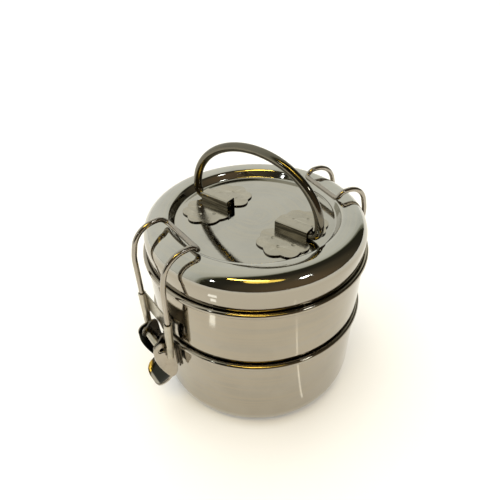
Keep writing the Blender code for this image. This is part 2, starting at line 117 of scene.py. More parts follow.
# The room that the steel mirrors, from its dark side to its bright one
ROOM_HEADING = AHEAD * 0.78 - RIGHT * 0.62
ROOM_TONES = (
    (0.0, (0.17, 0.12, 0.07)),
    (0.22, (0.085, 0.070, 0.045)),
    (0.38, (0.035, 0.032, 0.023)),
    (0.49, (0.030, 0.030, 0.018)),
    (0.515, (0.26, 0.26, 0.19)),
    (0.55, (0.74, 0.75, 0.68)),
    (0.66, (0.88, 0.89, 0.82)),
    (1.0, (1.00, 1.00, 0.94)),
)
PALE_WORLD = (0.90, 0.89, 0.875)             # what the camera sees past the floor's edge
DAYLIGHT, GOLD, STREAK = (0.85, 0.93, 1.0), (1.0, 0.70, 0.12), (1.0, 0.99, 0.95)

# name, shape, place along AHEAD, RIGHT and UP, width, height, power, colour
LAMPS = (
    ("window_left", "RECTANGLE", (-1.4, -1.35, 1.4), 0.10, 0.18, 1.1, (0.86, 0.93, 1.0)),
    ("window_right", "RECTANGLE", (-1.05, 1.30, 1.55), 0.30, 0.15, 2.4, (0.93, 0.97, 1.0)),
    ("lamp_gold", "ELLIPSE", (-0.80, -0.18, 1.9), 0.95, 0.13, 6.0, GOLD),
    ("glow_gold", "ELLIPSE", (-0.95, 0.16, 1.60), 0.9, 0.40, 1.9, GOLD),
)

# name, x and y on the floor, width, length, heading, power, colour
GLINTS = (
    ("glint_window", (-0.181, -0.054), 0.016, 0.026, radians(20), 0.0019, DAYLIGHT),
    ("glint_window_low", (-0.155, -0.047), 0.015, 0.014, radians(20), 0.0009, DAYLIGHT),
    ("glint_streak", (-0.0090, -0.1230), 0.0020, 0.080, radians(-2), 0.00042, STREAK),
)


# ---------------------------------------------------------------- mesh helpers

def mesh_from_bmesh(name, bm):
    bmesh.ops.recalc_face_normals(bm, faces=bm.faces)
    mesh = bpy.data.meshes.new(name)
    bm.to_mesh(mesh)
    bm.free()
    return mesh


def arc(cx, cz, rx, rz, start, end, n):
    """n + 1 points of an ellipse between two angles in degrees."""
    return [(cx + rx * cos(radians(start + (end - start) * i / n)),
             cz + rz * sin(radians(start + (end - start) * i / n))) for i in range(n + 1)]


def turned(name, profile, segments=160):
    """A closed body turned about Z; the profile starts and ends on the axis, or closes on itself."""
    bm = bmesh.new()
    verts = [bm.verts.new((r, 0.0, z)) for r, z in profile]
    edges = [bm.edges.new(pair) for pair in zip(verts, verts[1:])]
    if profile[0][0] > 1e-7:
        edges.append(bm.edges.new((verts[-1], verts[0])))
    bmesh.ops.spin(bm, geom=verts + edges, axis=(0, 0, 1), cent=(0, 0, 0),
                   angle=2 * pi, steps=segments, use_merge=True)
    bmesh.ops.remove_doubles(bm, verts=bm.verts, dist=1e-6)
    return mesh_from_bmesh(name, bm)


def drawn_out(name, corners, along):
    """The flat face through the corners, drawn out into a solid."""
    bm = bmesh.new()
    face = bm.faces.new([bm.verts.new(corner) for corner in corners])
    new = bmesh.ops.extrude_face_region(bm, geom=[face])["geom"]
    bmesh.ops.translate(bm, verts=[v for v in new if isinstance(v, bmesh.types.BMVert)], vec=along)
    return mesh_from_bmesh(name, bm)


def extruded(name, outline, y0, y1):
    """A solid along Y with its outline in X and Z."""
    return drawn_out(name, [(x, y0, z) for x, z in outline], (0, y1 - y0, 0))


def flat_extrusion(name, outline, z0, z1):
    """A solid along Z with its outline in X and Y."""
    return drawn_out(name, [(x, y, z0) for x, y in outline], (0, 0, z1 - z0))


def skin(bm, loops):
    """Faces between each closed loop of points and the next."""
    for a, b in zip(loops, loops[1:]):
        for i in range(len(a)):
            j = (i + 1) % len(a)
            bm.faces.new((a[i], a[j], b[j], b[i]))


def box(name, x, y, z):
    bm = bmesh.new()
    bmesh.ops.create_cube(bm, size=1.0)
    for v in bm.verts:
        v.co = Vector([(lo + hi) / 2 + c * (hi - lo) for (lo, hi), c in zip((x, y, z), v.co)])
    return mesh_from_bmesh(name, bm)


def rod(name, x, z, radius, y0, y1, sides=40):
    return extruded(name, arc(x, z, radius, radius, 0, 360 - 360 / sides, sides - 1), y0, y1)


def tube_along_y(name, x, z, outer, inner, y0, y1, sides=40, round_off=0.15 * MM):
    """A short tube along Y with its outer rims rounded over."""
    bm = bmesh.new()
    c = round_off
    section = [(y0 + c, outer), (y1 - c, outer), (y1 - 0.3 * c, outer - 0.3 * c), (y1, outer - c),
               (y1, inner), (y0, inner), (y0, outer - c), (y0 + 0.3 * c, outer - 0.3 * c)]
    rings = [[bm.verts.new((x + r * cos(2 * pi * i / sides), y, z + r * sin(2 * pi * i / sides)))
              for i in range(sides)] for y, r in section]
    skin(bm, rings + rings[:1])
    return mesh_from_bmesh(name, bm)


def with_modifiers(base, add):
    """The mesh after the modifiers that add(obj) puts on it; add returns the helper objects it made."""
    obj = bpy.data.objects.new("work", base)
    bpy.context.collection.objects.link(obj)
    helpers = add(obj) or []
    bpy.context.view_layer.update()
    result = bpy.data.meshes.new_from_object(obj.evaluated_get(bpy.context.evaluated_depsgraph_get()))
    for helper in helpers + [obj]:
        bpy.data.objects.remove(helper, do_unlink=True)
    return result


def combined(base, others, operation):
    def add(obj):
        helpers = []
        for mesh in others:
            tool = bpy.data.objects.new("tool", mesh)
            bpy.context.collection.objects.link(tool)
            mod = obj.modifiers.new("bool", "BOOLEAN")
            mod.operation = operation
            mod.object = tool
            helpers.append(tool)
        return helpers
    return with_modifiers(base, add)


def softened(mesh, width):
    """The mesh with its edges sharper than 50 degrees bevelled."""
    def add(obj):
        mod = obj.modifiers.new("edge", "BEVEL")
        mod.width = width
        mod.segments = 2
        mod.limit_method = "ANGLE"
        mod.angle_limit = radians(50)
        mod.use_clamp_overlap = True
    return with_modifiers(mesh, add)


def joined(name, meshes):
    bm = bmesh.new()
    for mesh in meshes:
        bm.from_mesh(mesh)
    return mesh_from_bmesh(name, bm)


def rounded_path(corners, steps=14):
    """Points along straight runs between corners, given as (place, bend radius)."""
    points = [Vector(corners[0][0])]
    for (a, _), (b, radius), (c, _) in zip(corners, corners[1:], corners[2:]):
        a, b, c = Vector(a), Vector(b), Vector(c)
        back, ahead = (a - b).normalized(), (c - b).normalized()
        half = back.angle(ahead) / 2
        if radius <= 0 or half > radians(89.5):
            points.append(b)
            continue
        reach = radius / tan(half)
        centre = b + (back + ahead).normalized() * (radius / sin(half))
        start, end = b + back * reach - centre, b + ahead * reach - centre
        turn = start.angle(end)
        points += [centre + (start * sin((1 - i / steps) * turn) + end * sin(i / steps * turn)) / sin(turn)
                   for i in range(steps + 1)]
    points.append(Vector(corners[-1][0]))
    return points


def wire(name, points, radius, sides=28):
    """Round wire swept along the points, with domed ends."""
    clean = [points[0]]
    for p in points[1:]:
        if (p - clean[-1]).length > 0.02 * MM:
            clean.append(p)
    last = len(clean) - 1
    tangents = [(clean[min(i + 1, last)] - clean[max(i - 1, 0)]).normalized() for i in range(last + 1)]
    normal = tangents[0].orthogonal().normalized()
    stations = []
    for i, (p, t) in enumerate(zip(clean, tangents)):
        if i:
            normal = tangents[i - 1].rotation_difference(t) @ normal
        normal = (normal - t * normal.dot(t)).normalized()
        stations.append((p, t, normal))
    p, t, n = stations[0]
    sections = [(p - t * radius * 0.5 * s, t, n, radius * c) for s, c in ((0.92, 0.4), (0.6, 0.8))]
    sections += [(p, t, n, radius) for p, t, n in stations]
    p, t, n = stations[-1]
    sections += [(p + t * radius * 0.5 * s, t, n, radius * c) for s, c in ((0.6, 0.8), (0.92, 0.4))]
    bm = bmesh.new()
    loops = []
    for p, t, n, r in sections:
        side = t.cross(n)
        loops.append([bm.verts.new(p + (n * cos(2 * pi * k / sides) + side * sin(2 * pi * k / sides)) * r)
                      for k in range(sides)])
    skin(bm, loops)
    bm.faces.new(loops[0])
    bm.faces.new(loops[-1])
    return mesh_from_bmesh(name, bm)


def smooth_rows(rows, per_step):
    """Catmull-Rom curve through rows of numbers."""
    out = []
    for i in range(len(rows) - 1):
        p0, p1 = rows[max(i - 1, 0)], rows[i]
        p2, p3 = rows[i + 1], rows[min(i + 2, len(rows) - 1)]
        for k in range(per_step):
            t = k / per_step
            out.append(tuple(0.5 * (2 * b + (c - a) * t + (2 * a - 5 * b + 4 * c - d) * t * t
                                    + (3 * b - a - 3 * c + d) * t ** 3)
                             for a, b, c, d in zip(p0, p1, p2, p3)))
    return out + [tuple(rows[-1])]


# ---------------------------------------------------------------- materials

class Nodes:
    """Short hands for wiring one node tree."""

    def __init__(self, tree):
        self.tree = tree

    def add(self, kind, settings=(), **inputs):
        """A new node; i0, i1 and so on are inputs by number, and other names are inputs by name."""
        node = self.tree.nodes.new(kind)
        for key, value in dict(settings).items():
            setattr(node, key, value)
        for key, value in inputs.items():
            socket = node.inputs[int(key[1:])] if key[0] == "i" and key[1:].isdigit() else node.inputs[key]
            if isinstance(value, bpy.types.NodeSocket):
                self.tree.links.new(value, socket)
            else:
                socket.default_value = value
        return node

    def math(self, operation, a, b=0.0):
        return self.add("ShaderNodeMath", {"operation": operation}, i0=a, i1=b).outputs[0]

    def mix(self, factor, a, b):
        a, b = [(*c, 1.0) if isinstance(c, tuple) else c for c in (a, b)]
        return self.add("ShaderNodeMixRGB", i0=factor, i1=a, i2=b).outputs[0]

    def ramp(self, value, lo, hi, out_lo, out_hi):
        """out_lo where the value is lo or less, out_hi where it is hi or more, and a smooth step between."""
        node = self.add("ShaderNodeMapRange", {"interpolation_type": "SMOOTHSTEP"}, i0=value)
        for i, v in zip((1, 2, 3, 4), (lo, hi, out_lo, out_hi)):
            node.inputs[i].default_value = v
        return node.outputs[0]

    def noise(self, vector, scale, detail, roughness):
        return self.add("ShaderNodeTexNoise", Vector=vector, Scale=scale, Detail=detail,
                        Roughness=roughness).outputs[0]


def new_material(name):
    mat = bpy.data.materials.new(name)
    mat.use_nodes = True
    return mat, Nodes(mat.node_tree), mat.node_tree.nodes["Principled BSDF"]


def buffed_space(n, coords, xyz, grain):
    """Coordinates squeezed along the buffing, so that noise in them makes fine lines."""
    if grain == "around":
        flat = n.add("ShaderNodeCombineXYZ", X=xyz[0], Y=xyz[1]).outputs[0]
        radius = n.add("ShaderNodeVectorMath", {"operation": "LENGTH"}, i0=flat).outputs["Value"]
        turn = n.math("MULTIPLY", n.math("ARCTAN2", xyz[1], xyz[0]), 0.0016)
        return n.add("ShaderNodeCombineXYZ", X=radius, Y=turn, Z=xyz[2]).outputs[0]
    scale = {"x": (0.06, 1, 1), "y": (1, 0.06, 1), "z": (1, 1, 0.06)}[grain]
    return n.add("ShaderNodeMapping", Vector=coords, Scale=scale).outputs[0]


def hairline_scratches(n, coords, spots):
    """Thin wandering lines that come and go with the spots."""
    wander = n.add("ShaderNodeTexNoise", Vector=coords, Scale=9.0).outputs[1]
    bent = n.add("ShaderNodeMixRGB", {"blend_type": "ADD"}, i0=0.06, i1=coords, i2=wander).outputs[0]
    cell = n.add("ShaderNodeTexVoronoi", {"feature": "DISTANCE_TO_EDGE"}, Vector=bent, Scale=26.0)
    line = n.ramp(cell.outputs["Distance"], 0.0, 0.012, 1.0, 0.0)
    return n.math("MULTIPLY", line, n.ramp(spots, 0.50, 0.62, 0.0, 1.0))


def lever_trough(n, xyz, half):
    """1 in the lever's trough, which is painted near black as shade, and 0 on its walls and on the spoon's
    rim and tip.
    """
    beyond = n.math("MAXIMUM", n.math("SUBTRACT", xyz[0], 76.5 * MM), 0.0)
    narrowing = n.ramp(xyz[2], 40.0 * MM, 46.0 * MM, 0.30, 0.0)
    spread = n.math("ADD", n.math("ABSOLUTE", xyz[1]), n.math("MULTIPLY", beyond, narrowing))
    within = n.ramp(spread, half - 0.25 * MM, half, 1.0, 0.0)
    before_tip = n.ramp(xyz[0], 85.2 * MM, 85.9 * MM, 1.0, 0.0)
    above_spoon = n.ramp(xyz[2], 42.0 * MM, 46.0 * MM, 0.0, 1.0)
    inside = n.math("MINIMUM", n.math("ADD", before_tip, above_spoon), 1.0)
    return n.math("MULTIPLY", within, inside)


def polished_steel(name, colour, shine, smudge, grain, grain_depth, wear, handled=0.0, trough=0.0,
                   lower=None, change=(0.0, 0.0), upright=None):
    """Polished stainless steel with buffing grain, hazy smudges, fine scratches and worn edges.

    shine is the least roughness and smudge what the haze adds. grain is the axis the buffing runs along, or
    "around" for turned sheet. handled is the share of grime, trough the half width of a lever's trough
    painted near black as shade, lower the colour below the heights in change, and upright a painted shade
    for upright walls.
    """
    mat, n, bsdf = new_material(name)
    coords = n.add("ShaderNodeTexCoord").outputs["Object"]
    xyz = n.add("ShaderNodeSeparateXYZ", Vector=coords).outputs
    surface = n.add("ShaderNodeNewGeometry").outputs
    lined = buffed_space(n, coords, xyz, grain)
    fine = n.noise(lined, 2600.0, 3.0, 0.6)
    broad = n.noise(lined, 420.0, 2.0, 0.5)
    haze = n.noise(coords, 38.0, 5.0, 0.62)
    spots = n.noise(coords, 210.0, 3.0, 0.5)
    scratch = hairline_scratches(n, coords, spots)
    corner = n.ramp(surface["Pointiness"], 0.515, 0.60, 0.0, 1.0)
    worn = n.math("MULTIPLY", corner, n.ramp(spots, 0.35, 0.65, 0.3, 1.0))

    rough = n.ramp(haze, 0.38, 0.68, shine, shine + smudge)
    for mark, share in ((fine, 0.025), (scratch, 0.10), (worn, 0.12 * wear)):
        rough = n.math("ADD", rough, n.math("MULTIPLY", mark, share))
    n.tree.links.new(rough, bsdf.inputs["Roughness"])

    dull = tuple(c * 0.90 for c in colour)
    warm = (colour[0] * 1.04, colour[1], colour[2] * 0.93)
    bright = tuple(min(1.0, c * 1.32) for c in colour)
    tint = n.mix(n.ramp(haze, 0.35, 0.70, 0.0, 1.0), colour, dull)
    tint = n.mix(n.ramp(broad, 0.40, 0.68, 0.0, 0.6), tint, warm)
    tint = n.mix(n.math("MULTIPLY", worn, wear), tint, bright)
    if handled:
        tint = n.mix(n.ramp(n.noise(coords, 95.0, 5.0, 0.6), 0.50, 0.72, 0.0, handled), tint, GRIME)
    # Painted shade: upright walls, the bracket channel's sides, are coloured dark and streaked in place of
    # the dark they mirror
    if upright:
        facing = n.add("ShaderNodeSeparateXYZ", Vector=surface["Normal"]).outputs[2]
        steep = n.ramp(n.math("ABSOLUTE", facing), 0.25, 0.65, 1.0, 0.0)
        streak = n.ramp(n.noise(lined, 900.0, 2.0, 0.5), 0.42, 0.62, 1.0, 0.45)
        tint = n.mix(n.math("MULTIPLY", steep, streak), tint, upright)
    # Painted light and shade: on the lid, the skirt below these heights takes the darker wall tone and the
    # top stays lighter
    if lower:
        tint = n.mix(n.ramp(xyz[2], change[0], change[1], 1.0, 0.0), tint, lower)
    # Painted shade: the lever's trough is coloured near black where it lies in shade
    if trough:
        tint = n.mix(lever_trough(n, xyz, trough), tint, LEVER_TROUGH_SHADE)
    n.tree.links.new(tint, bsdf.inputs["Base Color"])

    height = n.math("ADD", n.math("MULTIPLY", fine, grain_depth), n.math("MULTIPLY", haze, 0.30))
    height = n.math("SUBTRACT", height, n.math("MULTIPLY", scratch, 0.05))
    bump = n.add("ShaderNodeBump", Strength=0.55, Distance=0.3 * MM, Height=height)
    n.tree.links.new(bump.outputs[0], bsdf.inputs["Normal"])
    bsdf.inputs["Metallic"].default_value = 1.0
    return mat


def floor_material():
    mat, n, bsdf = new_material("pale_floor")
    mottle = n.noise(n.add("ShaderNodeTexCoord").outputs["Object"], 14.0, 4.0, 0.6)
    tint = n.mix(n.ramp(mottle, 0.3, 0.7, 0.0, 1.0), (0.852, 0.852, 0.847), (0.860, 0.860, 0.855))
    n.tree.links.new(tint, bsdf.inputs["Base Color"])
    n.tree.links.new(n.ramp(mottle, 0.3, 0.7, 0.58, 0.62), bsdf.inputs["Roughness"])
    return mat


def even_flats(obj):
    """Shade flat faces by their own normals, whatever the small faces beside them."""
    mod = obj.modifiers.new("flats", "WEIGHTED_NORMAL")
    mod.keep_sharp = True
    mod.weight = 80


def place(name, mesh, material, body, node, matrix=None, flat_faced=False):
    """Put a visible piece in for one CAD node, riding on its body."""
    mesh.shade_smooth()
    mesh.set_sharp_from_angle(angle=radians(32))
    if flat_faced:
        mesh = with_modifiers(mesh, even_flats)
    mesh.name = name
    obj = bpy.data.objects.new(name, mesh)
    bpy.context.collection.objects.link(obj)
    mesh.materials.clear()
    mesh.materials.append(material)
    if matrix is not None:
        obj.matrix_world = matrix
    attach(obj, body)
    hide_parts(node)


# ---------------------------------------------------------------- bowls and lid

def bead(rim_z):
    """The rolled rim, open towards the inside of the wall."""
    return arc(BEAD_R, rim_z, BEAD, BEAD, -96.6, 235.2, 26)


def lower_bowl_profile():
    rx, rz = LOWER_CORNER
    flat = WALL_R - rx
    foot = [(0, 0.9 * MM), (flat - 6 * MM, 0.9 * MM), (flat - 3.5 * MM, 0.5 * MM),
            (flat - 1.5 * MM, 0.05 * MM)]
    outer = arc(flat, rz, rx, rz, -90, 0, 22)
    inner = arc(flat, rz, rx - SHEET, rz - SHEET, 0, -90, 22)
    inner += [(flat - 5.5 * MM, SHEET + 0.6 * MM), (0, SHEET + 0.9 * MM)]
    return foot + outer + bead(LOWER_RIM_Z) + inner


def upper_bowl_profile():
    bottom = LOWER_RIM_Z - NECK_DROP
    corner = 2.6 * MM
    shoulder_z = LOWER_RIM_Z + BEAD + GAP
    outer = [(0, bottom)] + arc(NECK_R - 0.2 * MM - corner, bottom + corner, corner, corner, -90, 0, 8)
    outer += [(NECK_R, LOWER_RIM_Z + 0.5 * MM)]
    outer += arc(NECK_R + 0.25 * MM, shoulder_z + STEP_H, WALL_R - NECK_R - 0.25 * MM, STEP_H, -90, 0, 14)
    inner_wall = WALL_R - SHEET
    inner = [(inner_wall, shoulder_z + STEP_H), (inner_wall - 0.6 * MM, shoulder_z + 0.45 * STEP_H),
             (NECK_R - SHEET + 0.1 * MM, shoulder_z)]
    inner += arc(NECK_R - 0.2 * MM - corner, bottom + corner, corner - SHEET, corner - SHEET, 0, -90, 8)
    return outer + bead(UPPER_RIM_Z) + inner + [(0, bottom + SHEET)]


def lid_profile():
    seat = UPPER_RIM_Z + BEAD + GAP
    neck_bottom = UPPER_RIM_Z - 3.2 * MM
    top = [(0, DISC_Z), (0.5 * DISC_R, DISC_Z), (DISC_R - 1.6 * MM, DISC_Z)]
    top += arc(DISC_R - 1.2 * MM, DISC_Z + 1.5 * MM, 1.5 * MM, 1.5 * MM, -84, -28, 5)
    slope = Vector((LIP_R - 0.75 * MM, CREST_Z - 1.75 * MM))
    top += [(slope.x - 0.45 * MM, slope.y - 0.9 * MM), tuple(slope)]
    top += [(LIP_R - 0.1 * MM, CREST_Z - 0.75 * MM), (LIP_R + 0.8 * MM, CREST_Z - 0.22 * MM),
            (LIP_R + 2.2 * MM, CREST_Z - 0.04 * MM)]
    top += arc(CREST_R, SKIRT_TOP_Z, SKIRT_R - CREST_R, CREST_Z - SKIRT_TOP_Z, 90, 0, 26)
    top += [(SKIRT_R, seat + 0.9 * MM), (SKIRT_R - 0.15 * MM, seat + 0.4 * MM),
            (SKIRT_R - 0.6 * MM, seat + 0.05 * MM), (NECK_R + 0.2 * MM, seat),
            (NECK_R, seat - 0.6 * MM), (NECK_R - 0.1 * MM, neck_bottom)]
    under = [(NECK_R - 0.1 * MM - SHEET, neck_bottom), (NECK_R - SHEET, seat + 0.4 * MM),
             (SKIRT_R - SHEET, seat + 1.6 * MM)]
    under += arc(CREST_R, SKIRT_TOP_Z, SKIRT_R - CREST_R - SHEET, CREST_Z - SKIRT_TOP_Z - SHEET, 0, 90, 16)
    under += [(LIP_R + 0.5 * MM, CREST_Z - SHEET - 0.4 * MM), (DISC_R + 0.4 * MM, DISC_Z - 0.45 * MM),
              (DISC_R - 0.7 * MM, DISC_Z - SHEET), (0, DISC_Z - SHEET)]
    return top + under


# ---------------------------------------------------------------- bail handle and brackets

def bail_path():
    """The bail's centre line in its own plane, from one turned-in end over the top to the other."""
    straight = 6.0 * MM
    side = [(CHANNEL_IN + 1.5 * MM, 0.0), (BAIL_HALF - BAIL_BEND - 1 * MM, 0.0)]
    side += arc(BAIL_HALF - BAIL_BEND, BAIL_BEND, BAIL_BEND, BAIL_BEND, -84, 0, 12)
    side += arc(0, straight, BAIL_HALF, BAIL_RISE - straight, 2, 90, 44)
    left = [(-x, z) for x, z in reversed(side[:-1])]
    return [Vector((x, 0, z)) for x, z in side + left]


def lobe_outline(side, per_scallop=10):
    """A bracket's scalloped plate on one side of its channel."""
    edge = CHANNEL_HALF - PLATE / 2
    mid = (CHANNEL_IN + CHANNEL_OUT) / 2
    notch = arc(0, LOBE_MID, LOBE[0], LOBE[1], -33.0, 213.0, SCALLOPS)
    outline = [(notch[0][0] - 1.0 * MM, edge)]
    for (ax, ay), (bx, by) in zip(notch, notch[1:]):
        dx, dy = bx - ax, by - ay
        for i in range(per_scallop):
            f = i / per_scallop
            h = SCALLOP_BULGE * f * (1 - f)
            outline.append((ax + dx * f + dy * h, ay + dy * f - dx * h))
    outline += [notch[-1], (notch[-1][0] + 1.0 * MM, edge)]
    return [(mid + x, side * y) for x, y in outline]


def bracket_mesh(name):
    """A channel over the bail's end with a scalloped plate to either side and its weld dimples."""
    z0 = DISC_Z + GAP
    z1 = z0 + PLATE
    inner_half = CHANNEL_HALF - PLATE
    crown = BAIL_Z + WIRE_CLEAR
    outer = [(CHANNEL_HALF, z0), (CHANNEL_HALF, crown - 0.4 * MM)]
    outer += arc(CHANNEL_HALF - 0.9 * MM, crown - 0.2 * MM, 0.9 * MM, 0.2 * MM + PLATE, 8, 90, 6)
    inner = [(inner_half, z0), (inner_half, crown - 0.7 * MM), (inner_half - 0.3 * MM, crown - 0.15 * MM),
             (inner_half - 0.7 * MM, crown)]
    section = outer + [(-y, z) for y, z in reversed(outer)]
    section += [(-y, z) for y, z in inner] + list(reversed(inner))
    channel = drawn_out(name, [(CHANNEL_IN, y, z) for y, z in section], (CHANNEL_OUT - CHANNEL_IN, 0, 0))
    lobes = [flat_extrusion("lobe", lobe_outline(side), z0, z1) for side in (1, -1)]
    body = softened(combined(channel, lobes, "UNION"), 0.16 * MM)
    dimples = []
    mid = (CHANNEL_IN + CHANNEL_OUT) / 2
    for side in (1, -1):
        for dx, y in WELDS:
            bm = bmesh.new()
            bmesh.ops.create_uvsphere(bm, u_segments=28, v_segments=20, radius=DIMPLE_R)
            bmesh.ops.translate(bm, verts=bm.verts, vec=(mid + dx, side * y, z1 + DIMPLE_R - DIMPLE_DEPTH))
            dimples.append(mesh_from_bmesh("dimple", bm))
    return combined(body, [joined("dimples", dimples)], "DIFFERENCE")


def lid_frame(flip=False):
    """From the bail's frame, or the same turned half round, to the lid."""
    half = Matrix.Rotation(pi, 4, "Z") if flip else Matrix.Identity(4)
    return Matrix.Rotation(LID_TURN, 4, "Z") @ Matrix.Translation((*BAIL_OFF, 0)) @ half


# ---------------------------------------------------------------- clamps

def leg_point(z):
    """Centre of the hoop's leg at a height inside its sleeve."""
    hx, hz = HINGE_XZ
    f = (z - hz) / (SLEEVE_TOP - hz)
    return Vector((hx + (LEG_X - hx) * f, HINGE_LEG_Y + (SLEEVE_LEG_Y - HINGE_LEG_Y) * f, z))


def hoop_path():
    """The hoop's centre line from one turned-in end, up, across the lid's ring and back down."""
    hx, hz = HINGE_XZ
    bar_x, bar_z = BAR_XZ
    y = TOP_LEG_Y
    side = [((hx, HOOP_END_Y + 0.9 * MM, hz), 0), ((hx, HINGE_LEG_Y, hz), 2.2 * MM),
            (leg_point(SLEEVE_TOP), 30 * MM)]
    side += [((x * MM, y, z * MM), radius * MM) for x, z, radius in HOOP_BENDS]
    side.append(((bar_x, y, bar_z), 2.3 * MM))
    other = [((x, -py, z), radius) for (x, py, z), radius in reversed(side)]
    return rounded_path(side + other)


def sleeve_profile(length):
    outer, inner = SLEEVE_R
    foot = SLEEVE_FOOT_R
    mouth = [(outer - 0.02 * MM, length - 0.25 * MM), (outer - 0.15 * MM, length), (inner, length)]
    return arc(0, 0, foot, foot, -90, 0, 8) + mouth + arc(0, 0, inner, inner, 0, -90, 8)


def link_plate_mesh(name):
    """Two sleeves for the hoop's legs, joined by a plate and slotted where they clear the lever."""
    hx, hz = HINGE_XZ
    foot, top = leg_point(hz), leg_point(SLEEVE_TOP)
    sleeves, slots = [], []
    for side in (1, -1):
        flip = Vector((1, side, 1))
        run = (top - foot) * flip
        tube = turned("sleeve", sleeve_profile(run.length), 36)
        tube.transform(Matrix.Translation(foot * flip) @ run.to_track_quat("Z", "Y").to_matrix().to_4x4())
        sleeves.append(tube)
        ys = sorted((side * (HOOP_END_Y + 1.5 * MM), side * (HINGE_LEG_Y - 0.2 * MM)))
        slots.append(box("slot", (hx - 2.0 * MM, hx + 1.9 * MM), ys, (hz - 2.0 * MM, hz + 4.0 * MM)))
    half_sheet, rows = 0.35 * MM, 7
    z0, z1 = LINK_PLATE_Z
    bm = bmesh.new()
    rings = []
    for i in range(rows):
        z = z0 + (z1 - z0) * i / (rows - 1)
        p = leg_point(z)
        half, back = p.y - 1.35 * MM, p.x - LINK_PLATE_BACK
        corners = ((-half_sheet, -half), (half_sheet, -half), (half_sheet, half), (-half_sheet, half))
        rings.append([bm.verts.new((back + dx, y, z)) for dx, y in corners])
    bm.faces.new(rings[0])
    bm.faces.new(rings[-1])
    skin(bm, rings)
    plate = mesh_from_bmesh(name, bm)
    return combined(combined(plate, sleeves, "UNION"), slots, "DIFFERENCE")


def lever_wall_outline():
    """A lever wall from the side: the ear round the pin, the free edge and the edge next to the bowl."""
    px, pz = PIN_XZ
    ear = arc(px, pz, EAR_R, EAR_R, 150, -6, 22)
    free = smooth_rows([(86.1, 68.0), (86.0, 63.5), (85.0, 58.0), (82.8, 51.0), (80.2, 44.5), (78.2, 41.0),
                        (76.4, 40.2), (74.8, 40.9), (73.4, 43.6), (72.9, 47.0)], 5)
    back = [(72.9, 63.5), (73.3, 65.7), (74.9, 69.5)]
    return ear + [(x * MM, z * MM) for x, z in free[5:] + back]


def spoon_mesh(name):
    """The lever's back and its cupped thumb spoon, swept along rows of x, z, half width and cup in mm."""
    spine = smooth_rows([(73.9, 58.0, 10.5, 0.0), (73.9, 48.0, 10.5, 0.0), (74.5, 43.4, 10.6, 0.6),
                         (76.4, 39.6, 10.8, 1.6), (79.4, 36.6, 10.9, 2.5), (82.4, 34.6, 10.2, 2.9),
                         (84.8, 33.5, 8.8, 2.4), (86.3, 32.9, 6.6, 1.5), (87.1, 32.6, 3.2, 0.4)], 5)
    across = 28
    bm = bmesh.new()
    near, far = [], []
    for k, (x, z, half, cup) in enumerate(spine):
        x0, z0 = spine[max(k - 1, 0)][:2]
        x1, z1 = spine[min(k + 1, len(spine) - 1)][:2]
        length = hypot(x1 - x0, z1 - z0)
        nx, nz = -(z1 - z0) / length, (x1 - x0) / length
        for rows, depth in ((near, 0.0), (far, LEVER_SHEET / MM)):
            row = []
            for i in range(across + 1):
                f = 2.0 * i / across - 1.0
                rise = cup * abs(f) ** 3 + depth
                row.append(bm.verts.new(((x + nx * rise) * MM, half * f * MM, (z + nz * rise) * MM)))
            rows.append(row)
    for rows in (near, far):
        for a, b in zip(rows, rows[1:]):
            for i in range(across):
                bm.faces.new((a[i], a[i + 1], b[i + 1], b[i]))
    for a, b in zip(zip(near, near[1:]), zip(far, far[1:])):
        for i in (0, across):
            bm.faces.new((a[0][i], a[1][i], b[1][i], b[0][i]))
    for a, b in ((near[0], far[0]), (near[-1], far[-1])):
        for i in range(across):
            bm.faces.new((a[i], a[i + 1], b[i + 1], b[i]))
    bmesh.ops.triangulate(bm, faces=bm.faces)
    return mesh_from_bmesh(name, bm)


def lever_mesh(name):
    outline = lever_wall_outline()
    y0, y1 = EAR_Y
    walls = [softened(extruded("wall", outline, a, b), 0.25 * MM) for a, b in ((y0, y1), (-y1, -y0))]
    body = combined(spoon_mesh(name), walls, "UNION")
    holes = [rod("hole", *PIN_XZ, PIN_R[0] + 0.4 * MM, -DRILL, DRILL),
             rod("hole", *HINGE_XZ, HOOP_R + 0.37 * MM, -DRILL, DRILL)]
    return combined(body, holes, "DIFFERENCE")


def base_bracket_mesh(name):
    """A curved foot on the lower bowl with two arms out to the lever's pin."""
    r0, r1 = WALL_R + GAP, WALL_R + 1.4 * MM
    n = 16
    turns = [radians(-FOOT_HALF_TURN + 2 * FOOT_HALF_TURN * i / n) for i in range(n + 1)]
    outline = [(r0 * cos(a), r0 * sin(a)) for a in turns]
    outline += [(r1 * cos(a), r1 * sin(a)) for a in reversed(turns)]
    foot = flat_extrusion(name, outline, *FOOT_Z)
    px, pz = PIN_XZ
    arm = [(70.4, 46.0), (70.4, 60.6), (71.8, 61.6), (72.6, 63.2), (73.0, 68.0), (73.2, 74.0), (73.6, 75.9),
           (74.6, 77.2), (76.0, 77.6), (77.4, 77.5), (78.8, 76.6), (79.8, 75.2)]
    under = [(77.4, 64.4), (75.2, 61.3), (72.6, 58.9), (72.0, 57.5), (71.8, 46.0)]
    outline = [(x * MM, z * MM) for x, z in arm] + arc(px, pz, ARM_R, ARM_R, 70, -80, 18)
    outline += [(x * MM, z * MM) for x, z in under]
    y0, y1 = ARM_Y
    arms = [extruded("arm", outline, a, b) for a, b in ((y0, y1), (-y1, -y0))]
    body = combined(foot, arms, "UNION")
    return combined(body, [rod("hole", px, pz, PIN_R[0] + GAP, -DRILL, DRILL)], "DIFFERENCE")


# ---------------------------------------------------------------- studio

def wide_floor():
    disc = bmesh.new()
    bmesh.ops.create_circle(disc, cap_ends=True, segments=96, radius=6.0)
    floor = bpy.data.objects.new("floor", mesh_from_bmesh("floor", disc))
    bpy.context.collection.objects.link(floor)
    floor.location = (0, 0, -0.2 * MM)
    floor.data.materials.append(floor_material())


